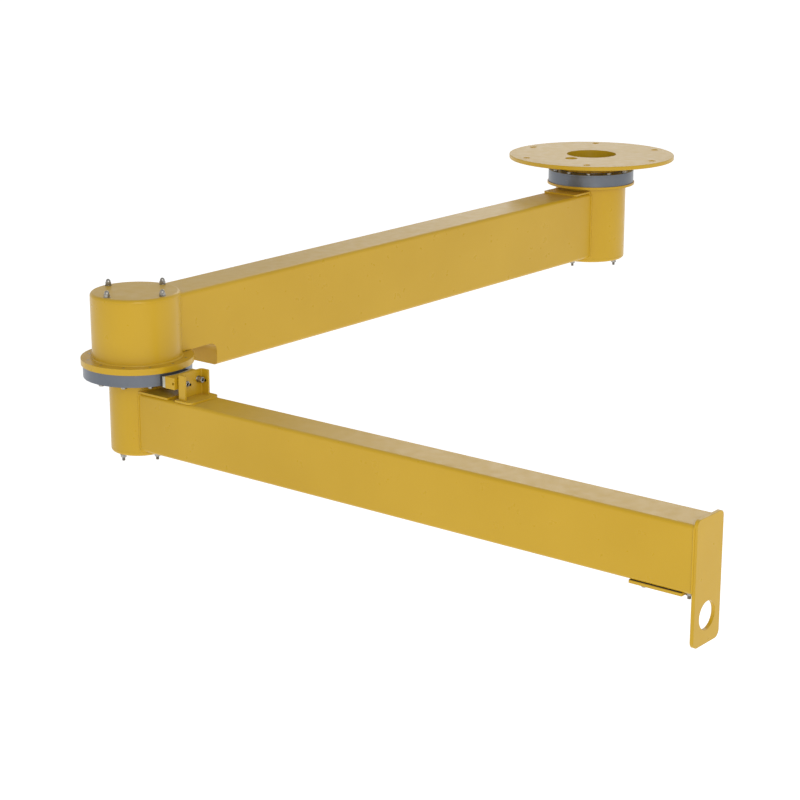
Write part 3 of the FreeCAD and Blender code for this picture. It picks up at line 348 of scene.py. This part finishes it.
# Low and high corners of each separate solid of a node, the solids being further apart than reach.
def solidBoxes(node, reach=0.02):
    mesh = cadNodes[node].data
    left = np.zeros(len(mesh.vertices) * 3)
    mesh.vertices.foreach_get("co", left)
    left = left.reshape(-1, 3)
    boxes = []
    while len(left):
        near = np.linalg.norm(left[:, :2] - left[0, :2], axis=1) < reach
        boxes.append((left[near].min(0), left[near].max(0)))
        left = left[~near]
    return boxes


threadLook = {"major": 4.0 * mm, "pitch": 1.25 * mm, "depth": 0.7 * mm}
hexLook = {"flat": 6.5 * mm, "corner": 7.5 * mm, "chamfer": 0.9 * mm, "chamferFrom": 0.95,
           "seat": 0.97, "seatHeight": 0.3 * mm}


# Circle radius of a hexagon's chamfer at a depth below its face: it grows by the depth over tan 30.
def chamferRings(low, high, both):
    look = hexLook
    flat = look["flat"]
    depths = np.linspace(0, look["chamfer"], 6)
    circles = np.minimum(flat * look["chamferFrom"] + depths / math.tan(math.pi / 6), look["corner"])
    top = [(high - depth, circle, flat) for depth, circle in zip(depths, circles)][::-1]
    if both:
        return [(low + depth, circle, flat) for depth, circle in zip(depths, circles)] + top
    seat, step = flat * look["seat"], low + look["seatHeight"]
    return [(low, seat, None), (step, seat, None), (step, look["corner"], flat)] + top


def shifted(parts, rise):
    return [(points + (0, 0, rise), faces) for points, faces in parts]


# The shapes below run from start to end along +Z, a head or a dome being at the end.
def stud(start, end):
    return [threadedRod(start, end, threadLook["major"], threadLook["pitch"], threadLook["depth"])]


boltLook = {"head": 5.3 * mm, "thread": 22 * mm, "shortThread": 12 * mm}


# Hexagon bolt: thread, then a plain shank, then the head, made with the head's seat at level 0.
def bolt(start, end, thread=boltLook["thread"]):
    head, radius = boltLook["head"], threadLook["major"]
    foot = -(end - start - head)
    shank = hexTurned([(foot + thread, radius, None), (0, radius, None)], sides=24)
    return shifted([hexTurned(chamferRings(0, head, False)), shank, *stud(foot, thread + foot)], end - head)


def shortBolt(start, end):
    return bolt(start, end, boltLook["shortThread"])


nutLook = {"bore": 0.97, "lead": 0.5 * mm}


# Nut with both faces chamfered, and a bore: a ring closed on itself.
def nut(start, end):
    bore, lead = threadLook["major"] * nutLook["bore"], nutLook["lead"]
    height = end - start
    inside = [(height, bore + lead, None), (height - lead, bore, None),
              (lead, bore, None), (0, bore + lead, None)]
    return shifted([hexTurned(chamferRings(0, height, True) + inside, closed=True)], start)


def nutPair(start, end):
    middle = (start + end) / 2
    return nut(start, middle) + nut(middle, end)


domeLook = {"hexHeight": 6.5 * mm, "neck": 7.6 * mm, "radius": 6.0 * mm, "tip": 0.96}


# Domed nut: the hexagon, then a quarter ellipse, radius = dome cos t, height = neck + rise sin t.
def domedNut(start, end):
    look = domeLook
    height = end - start
    rise = height - look["neck"]
    steps = np.linspace(0, math.pi / 2 * look["tip"], 9)
    crown = [(look["neck"] + rise * math.sin(t), look["radius"] * math.cos(t), None) for t in steps]
    foot = chamferRings(0, look["hexHeight"], True) + [(look["hexHeight"], look["radius"], None)]
    return shifted([hexTurned(foot + crown)], start)


washerLook = {"radius": 8 * mm, "bore": 4.2 * mm, "bevel": 0.3 * mm, "sides": 32}


# Flat washer: a closed section of four corners, each cut by a small bevel.
def washer(start, end):
    radius, bore, bevel = washerLook["radius"], washerLook["bore"], washerLook["bevel"]
    height = end - start
    section = np.array([
        (0, radius - bevel), (bevel, radius), (height - bevel, radius), (height, radius - bevel),
        (height, bore + bevel), (height - bevel, bore), (bevel, bore), (0, bore + bevel)])
    heights, radii = (column[:, None] * np.ones(washerLook["sides"]) for column in section.T)
    return shifted([turned(heights, radii, closed=True)], start)


socketLook = {"head": 6 * mm, "radius": 5 * mm, "rim": 0.5 * mm, "foot": 0.2 * mm, "footHeight": 0.3 * mm,
              "key": 2.5 * mm, "keyCorner": 1.2, "keyLead": 1.25, "leadDepth": 0.3 * mm,
              "thread": 3 * mm, "pitch": 1.0 * mm, "depth": 0.55 * mm}


# Socket screw: thread, head wall, bevelled rim, then down a hexagon socket to its floor.
def socketScrew(start, end):
    look = socketLook
    head, radius, key = look["head"], look["radius"], look["key"]
    corner = key * look["keyCorner"]
    rings = [(0, radius - look["foot"], None), (look["footHeight"], radius, None),
             (head - look["rim"], radius, None), (head, radius - look["rim"], None),
             (head, key * look["keyLead"], None), (head - look["leadDepth"], corner, key),
             (head / 2, corner, key)]
    shank = threadedRod(-(end - start - head), 0, look["thread"], look["pitch"], look["depth"])
    return shifted([hexTurned(rings), shank], end - head)


# One piece for a whole node: the shape is made afresh for each of the node's solids, along its axis.
def addSet(name, node, body, shape, axis="z"):
    along = 1 if axis == "y" else 2
    parts = []
    for low, high in solidBoxes(node):
        ends = (-high[along], -low[along]) if axis == "down" else (low[along], high[along])
        spot = (low + high) / 2
        spot[along] = 0
        parts.extend(placed(part, spot, axis) for part in shape(*ends))
    return joinParts(name, parts, finishes["zinc_fasteners"], body, [node])


addSet("upperRingBoltSet", "upper_ring_bolts", "first_arm", bolt)
addSet("lowerRingBoltSet", "lower_ring_bolts", "first_arm", bolt, "down")
addSet("tipBoltSet", "tip_bolts", "second_arm", shortBolt)
addSet("tipNutSet", "tip_nuts", "second_arm", nut)
addSet("coverScrewSet", "cable_cover_screws", "second_arm", socketScrew, "down")
for name, node, body in (("upperCap", "upper_cap", "first_arm"), ("lowerCap", "lower_cap", "second_arm")):
    addSet(name + "StudSet", node + "_studs", body, stud)
    addSet(name + "WasherSet", node + "_washers", body, washer)
    addSet(name + "NutSet", node + "_nuts", body, nut)
addSet("lidStudSet", "drum_lid_studs", "first_arm", stud)
addSet("lidWasherSet", "drum_lid_washers", "first_arm", washer)
addSet("lidNutSet", "drum_lid_cap_nuts", "first_arm", domedNut)
addSet("brakeStudSet", "brake_studs", "brake_shoe", stud, "y")
addSet("brakeWasherSet", "brake_washers", "brake_shoe", washer, "y")
addSet("brakeNutSet", "brake_nuts", "brake_shoe", nutPair, "y")
print("fasteners made")


beadLook = {"heavy": 3.4 * mm, "light": 2.4 * mm, "step": 0.7 * mm, "ripple": 0.14,
            "rippleStep": 3.5 * mm, "lean": 0.4, "sides": 10,
            "firstCorner": 10 * mm, "secondCorner": 8 * mm, "aboveFlange": 2 * mm}


# Bead along a path: point = path + size * (cos b * side + sin b * up), with size = bead * (1 + ripple *
# saw tooth of (distance / step + lean * sin b)), so that each ripple leans back like a laid weld.
def weldBead(path, bead, closed):
    look = beadLook
    path = np.asarray(path, float)
    ahead = np.roll(path, -1, 0) - np.roll(path, 1, 0)
    if not closed:
        ahead[0] = path[1] - path[0]
        ahead[-1] = path[-1] - path[-2]
    tangent = ahead / np.linalg.norm(ahead, axis=1)[:, None]
    helper = np.where(np.abs(tangent[:, 2:]) > 0.9, [[1.0, 0, 0]], [[0, 0, 1.0]])
    side = np.cross(helper, tangent)
    side /= np.linalg.norm(side, axis=1)[:, None]
    up = np.cross(tangent, side)
    run = np.concatenate(([0], np.cumsum(np.linalg.norm(np.diff(path, axis=0), axis=1))))
    angle = (np.arange(look["sides"]) * fullTurn / look["sides"])[None, :]
    saw = (run[:, None] / look["rippleStep"] + look["lean"] * np.sin(angle)) % 1
    size = bead * (1 + look["ripple"] * (saw - 0.5))
    points = (path[:, None, :] + (size * np.cos(angle))[..., None] * side[:, None, :]
              + (size * np.sin(angle))[..., None] * up[:, None, :])
    return points.reshape(-1, 3), ringFaces(len(path), look["sides"], closed)


# Rounded rectangle walked at even distances: four straight sides and four quarter circles.
def roundedRectangle(width, height, corner):
    straightX, straightY = width - 2 * corner, height - 2 * corner
    arc = math.pi / 2 * corner
    lengths = [straightX, arc, straightY, arc] * 2
    total = sum(lengths)
    count = int(total / beadLook["step"])
    distance = np.arange(count) * total / count
    out = np.zeros((count, 2))
    start, heading, place = 0.0, 0.0, np.array([-straightX / 2, -height / 2])
    for number, length in enumerate(lengths):
        here = (distance >= start) & (distance < start + length)
        gone = (distance[here] - start)[:, None]
        forward = np.array([math.cos(heading), math.sin(heading)])
        left = np.array([-forward[1], forward[0]])
        if number % 2 == 0:
            out[here] = place + gone * forward
            place = place + length * forward
        else:
            bend = gone / corner
            out[here] = place + corner * (np.sin(bend) * forward + (1 - np.cos(bend)) * left)
            place = place + corner * (forward + left)
            heading += math.pi / 2
        start += length
    return out


# Circle of even steps: centre + radius (cos a, sin a), at one level.
def ringPath(centre, radius, level):
    angle = np.linspace(0, fullTurn, int(fullTurn * radius / beadLook["step"]), endpoint=False)
    return np.stack((centre[0] + radius * np.cos(angle), centre[1] + radius * np.sin(angle),
                     np.full(len(angle), level)), -1)


# Outline of a box section carried onto a round column: across and up follow a rounded rectangle, and
# reach = square root of (column radius squared - across squared).
def sectionOnColumn(width, height, corner, radius):
    across, up = roundedRectangle(width, height, corner).T
    reach = np.sqrt(radius ** 2 - across ** 2)
    return across, up, reach


def addWeld(name, path, bead, body, closed=True):
    return joinParts(name, [weldBead(path, bead, closed)], paint, body, smooth=60)


def halfSize(node, axis):
    low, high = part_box(node)
    return (high[axis] - low[axis]) / 2


columnRadius = halfSize("upper_column_tube", 0)
lowerRadius = halfSize("lower_column_tube", 0)


# Beads round the tubes, each where it meets a flange or a plate.
def addRingWelds():
    heavy, light = beadLook["heavy"], beadLook["light"]
    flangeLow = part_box("upper_column_flange")[0].z
    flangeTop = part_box("drum_flange")[1].z
    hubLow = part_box("lower_hub_flange")[0].z
    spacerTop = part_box("hub_spacer")[1].z
    addWeld("weldColumnFlange", ringPath((0, 0), columnRadius, flangeLow), heavy, "first_arm")
    addWeld("weldDrumFlange", ringPath(elbow, columnRadius, flangeTop), heavy, "first_arm")
    addWeld("weldHubFlange", ringPath(elbow, lowerRadius, hubLow), light, "second_arm")
    addWeld("weldHubSpacer", ringPath((0, 0), halfSize("hub_spacer", 0), spacerTop), heavy, "ceiling_mount")


# Beads at both ends of the first boom. The one on the drum stops where the drum's flange begins.
def addFirstBoomWelds():
    heavy = beadLook["heavy"]
    low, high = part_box("first_boom_tube")
    middle = (low.z + high.z) / 2
    size = high - low
    across, up, reach = sectionOnColumn(size.y, size.z, beadLook["firstCorner"], columnRadius)
    addWeld("weldBoomToColumn", np.stack((reach, across, up + middle), -1), heavy, "first_arm")
    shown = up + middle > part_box("drum_flange")[1].z + beadLook["aboveFlange"]
    start = int(np.argmax(~shown))
    path = np.stack((elbow.x - reach, across, up + middle), -1)
    path = np.roll(path, -start, 0)[np.roll(shown, -start)]
    addWeld("weldBoomToDrum", path, heavy, "first_arm", closed=False)


def addSecondBoomWelds():
    light = beadLook["light"]
    low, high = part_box("second_boom_tube")
    middle = (low.z + high.z) / 2
    size = high - low
    across, up, reach = sectionOnColumn(size.x, size.z, beadLook["secondCorner"], lowerRadius)
    path = np.stack((elbow.x + across, reach, up + middle), -1)
    addWeld("weldBoomToLowerColumn", path, light, "second_arm")
    outline = roundedRectangle(size.x, size.z, beadLook["secondCorner"])
    plateFace = np.full(len(outline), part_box("end_plate")[0].y)
    path = np.stack((elbow.x + outline[:, 0], plateFace, outline[:, 1] + middle), -1)
    addWeld("weldEndPlate", path, light, "second_arm")


addRingWelds()
addFirstBoomWelds()
addSecondBoomWelds()
print("welds made")


stageLook = {"floorDrop": 3.0, "floorSize": 120.0, "floorColour": (0.86, 0.86, 0.86), "floorGlow": 0.54,
             "floorRoughness": 0.9, "horizon": 0.82, "zenith": 0.58, "skyHeights": (0.05, 0.8)}
lampLook = {
    "keyLamp": {"spot": (6.0, 5.5, 2.2), "aim": (1.2, 0.5, -0.3), "size": 2.6, "power": 144},
    "backLamp": {"spot": (-4.6, -3.0, 2.9), "aim": (1.9, 1.2, -0.3), "size": 3.4, "power": 42},
}


def addFloor():
    half = stageLook["floorSize"] / 2
    mesh = bpy.data.meshes.new("floor")
    corners = [(-half, -half), (half, -half), (half, half), (-half, half)]
    mesh.from_pydata([(x, y, -stageLook["floorDrop"]) for x, y in corners], [], [(0, 1, 2, 3)])
    material, _, surface = startMaterial("paleFloor")
    surface.inputs["Base Color"].default_value = (*stageLook["floorColour"], 1)
    surface.inputs["Roughness"].default_value = stageLook["floorRoughness"]
    surface.inputs["Specular IOR Level"].default_value = 0.0
    surface.inputs["Emission Color"].default_value = (1, 1, 1, 1)
    surface.inputs["Emission Strength"].default_value = stageLook["floorGlow"]
    mesh.materials.append(material)
    floor = bpy.data.objects.new("floor", mesh)
    bpy.context.scene.collection.objects.link(floor)


# Sky: pale at the horizon and greyer overhead, mixed by the height of the direction.
def addSky():
    world = bpy.data.worlds.new("studio")
    bpy.context.scene.world = world
    world.use_nodes = True
    tree = world.node_tree
    direction = addNode(tree, "ShaderNodeTexCoord").outputs["Generated"]
    height = addNode(tree, "ShaderNodeSeparateXYZ", {"Vector": direction}).outputs["Z"]
    level = spread(tree, height, *stageLook["skyHeights"], stageLook["horizon"], stageLook["zenith"])
    background = tree.nodes["Background"]
    background.inputs["Color"].default_value = (1, 1, 1, 1)
    tree.links.new(level, background.inputs["Strength"])


def addLamp(name, spot, aim, size, power):
    lamp = bpy.data.lights.new(name, "AREA")
    lamp.shape = "DISK"
    lamp.size = size
    lamp.energy = power
    holder = bpy.data.objects.new(name, lamp)
    holder.location = spot
    holder.rotation_euler = (Vector(aim) - Vector(spot)).to_track_quat("-Z", "Y").to_euler()
    bpy.context.scene.collection.objects.link(holder)


cameraLook = {"spot": (5.2344, 3.4428, 0.9761), "heading": -0.8952216, "dip": 0.2750210, "lens": 92.03,
              "sensor": 36, "farthest": 200}


def addCamera():
    look = cameraLook
    camera = bpy.data.objects.new("camera", bpy.data.cameras.new("camera"))
    camera.data.lens = look["lens"]
    camera.data.sensor_width = look["sensor"]
    camera.data.clip_end = look["farthest"]
    camera.location = look["spot"]
    camera.rotation_euler = (math.pi / 2 - look["dip"], 0, math.pi + look["heading"])
    bpy.context.scene.collection.objects.link(camera)
    bpy.context.scene.camera = camera


addFloor()
addSky()
for name, look in lampLook.items():
    addLamp(name, **look)
addCamera()
bpy.context.scene.view_settings.view_transform = "Standard"
print("stage made")
